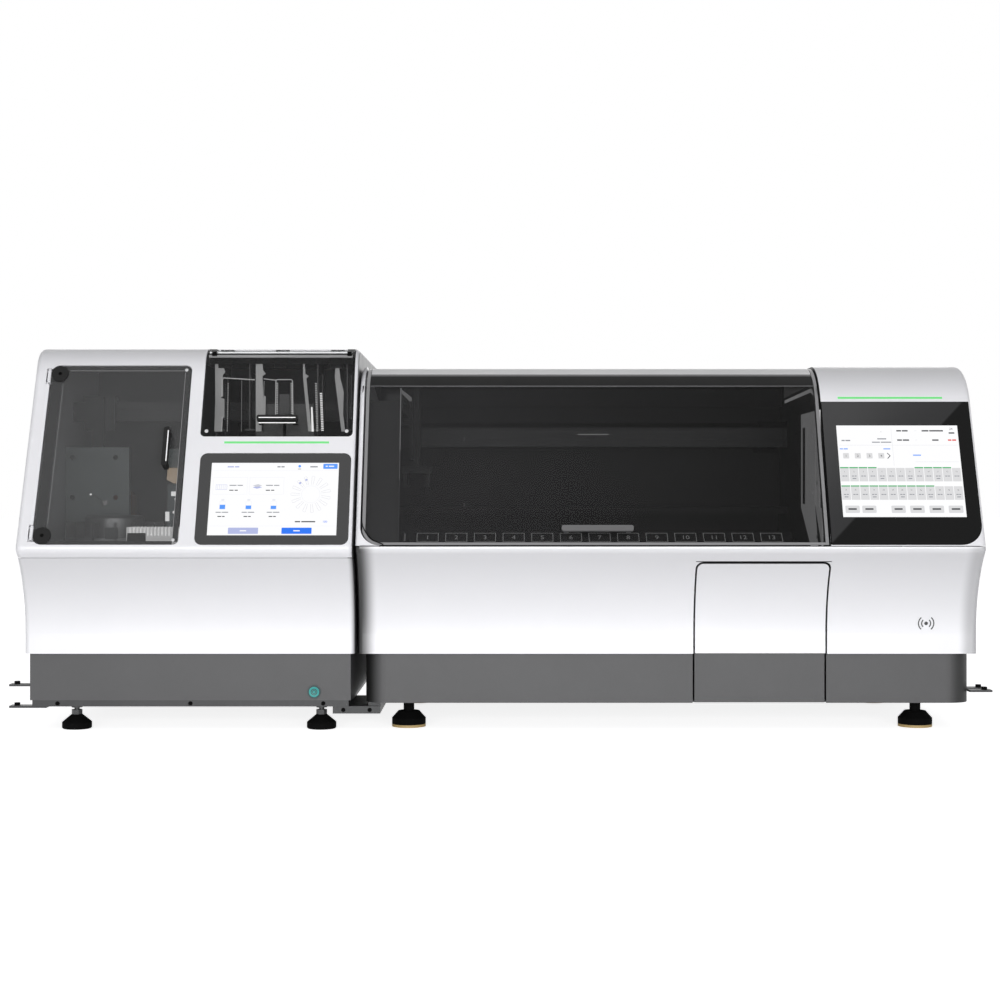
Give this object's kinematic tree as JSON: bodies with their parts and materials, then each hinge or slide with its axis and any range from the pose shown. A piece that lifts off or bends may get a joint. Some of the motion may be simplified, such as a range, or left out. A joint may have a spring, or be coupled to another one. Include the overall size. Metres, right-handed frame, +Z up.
{
  "type": "slide stainer and coverslipper",
  "caption": "Linked bench machines that stain microscope slides in reagent vessels with a gantry gripper and then cover them with glass coverslips.",
  "frame": {"origin": "on the bench under the centre of the pair's outer box", "axes": "+X to the right as seen from the front, +Y to the back, +Z up"},
  "size_m": [1.87, 0.7, 0.731],
  "materials": {
    "white": "satin white housing",
    "grey_base": "dark grey powder coat",
    "dark_metal": "dark grey",
    "smoked": "smoked transparent panel",
    "black_gloss": "gloss black glass panel",
    "screen": "lit display",
    "green_light": "lit diffuser",
    "trim_grey": "dark grey trim",
    "black_plastic": "black",
    "pad_tan": "tan pad",
    "steel": "brushed",
    "aluminium": "anodised",
    "teal": "lit teal",
    "inner_grey": "blue grey",
    "rack_white": "off white",
    "amber": "amber bottle"
  },
  "bodies": {
    "frame": {"base_screws": "steel", "carousel_post": "steel", "chamber_liner": "steel", "chassis_plates": "dark_metal", "console_glass": "black_gloss", "console_housing": "white", "coverslip_magazine": "inner_grey", "coverslipper_base_skirt": "grey_base", "coverslipper_deck": "inner_grey", "coverslipper_lower_cover": "white", "coverslipper_screen_bezel": "black_gloss", "coverslipper_upper_cover": "white", "display_screens": "screen", "docking_brackets": "dark_metal", "drawer_runners": "steel", "exhaust_collars": "black_plastic", "foot_studs": "steel", "guide_rails": "aluminium", "hinge_blocks": "black_plastic", "hinge_pins": "steel", "levelling_feet": "black_plastic", "light_strips": "green_light", "mains_and_water_inlets": "black_plastic", "mountant_bottle": "amber", "power_button_ring": "steel", "rack_hooks": "steel", "reagent_vessels": "rack_white", "rear_panels": "dark_metal", "slide_comb_tray": "steel", "slide_racks": "rack_white", "stainer_base_skirt": "grey_base", "stainer_foot_pads": "pad_tan", "stainer_front_apron": "white", "stainer_rim_cover": "white", "station_number_strip": "inner_grey", "x_belt_drive": "inner_grey"},
    "hood": {"hood_frame": "trim_grey", "hood_glass": "smoked", "hood_handle": "trim_grey"},
    "coverslipper_lid": {"lid_glass": "smoked", "lid_handle": "trim_grey", "lid_hinge_knuckles": "black_plastic"},
    "coverslipper_door": {"door_glass": "smoked", "door_hinge_clamps": "steel", "door_handle": "trim_grey"},
    "load_drawer": {"drawer_front": "white", "drawer_kick_panel": "grey_base", "drawer_tray": "inner_grey"},
    "gantry_x": {"x_carriage": "aluminium", "y_arm": "aluminium"},
    "gantry_y": {"y_carriage": "aluminium"},
    "gantry_z": {"z_column": "aluminium"},
    "jaw_left": {"gripper_jaw_left": "aluminium"},
    "jaw_right": {"gripper_jaw_right": "aluminium"},
    "pick_carriage": {"pick_head_carriage": "aluminium"},
    "pick_head": {"pick_head": "aluminium"},
    "carousel": {"carousel_wheel": "inner_grey", "carousel_racks": "rack_white"},
    "power_button": {"power_button": "teal"}
  },
  "joints": [
    {"name": "hood_hinge", "type": "hinge", "parent": "frame", "child": "hood", "pos_m": [0.175, 0.217, 0.688], "axis": [-1, 0, 0], "range_deg": [0, 75]},
    {"name": "lid_hinge", "type": "hinge", "parent": "frame", "child": "coverslipper_lid", "pos_m": [-0.427, -0.158, 0.7235], "axis": [-1, 0, 0], "range_deg": [0, 95]},
    {"name": "door_hinge", "type": "hinge", "parent": "frame", "child": "coverslipper_door", "pos_m": [-0.8715, -0.3413, 0.36924], "axis": [0, -0.4019, -0.9157], "range_deg": [0, 110]},
    {"name": "load_drawer_slide", "type": "slide", "parent": "frame", "child": "load_drawer", "axis": [0, -1, 0], "range_m": [0, 0.3]},
    {"name": "gantry_x_slide", "type": "slide", "parent": "frame", "child": "gantry_x", "axis": [1, 0, 0], "range_m": [0, 0.7]},
    {"name": "gantry_y_slide", "type": "slide", "parent": "gantry_x", "child": "gantry_y", "axis": [0, -1, 0], "range_m": [0, 0.235]},
    {"name": "gantry_z_slide", "type": "slide", "parent": "gantry_y", "child": "gantry_z", "axis": [0, 0, -1], "range_m": [0, 0.08]},
    {"name": "jaw_left_slide", "type": "slide", "parent": "gantry_z", "child": "jaw_left", "axis": [1, 0, 0], "range_m": [0, 0.012]},
    {"name": "jaw_right_slide", "type": "slide", "parent": "gantry_z", "child": "jaw_right", "axis": [-1, 0, 0], "range_m": [0, 0.012]},
    {"name": "pick_carriage_slide", "type": "slide", "parent": "frame", "child": "pick_carriage", "axis": [1, 0, 0], "range_m": [0, 0.52]},
    {"name": "pick_head_slide", "type": "slide", "parent": "pick_carriage", "child": "pick_head", "axis": [0, 0, -1], "range_m": [0, 0.07]},
    {"name": "carousel_spin", "type": "hinge", "parent": "frame", "child": "carousel", "pos_m": [-0.77, -0.095, 0.36], "axis": [0, 0, 1], "continuous": true},
    {"name": "power_button_press", "type": "slide", "parent": "frame", "child": "power_button", "axis": [0, 1, 0], "range_m": [0, 0.003], "stiffness_N_per_m": 500}
  ],
  "couplings": [
    {"joint": "jaw_right_slide", "follows": "jaw_left_slide", "ratio": 1}
  ]
}
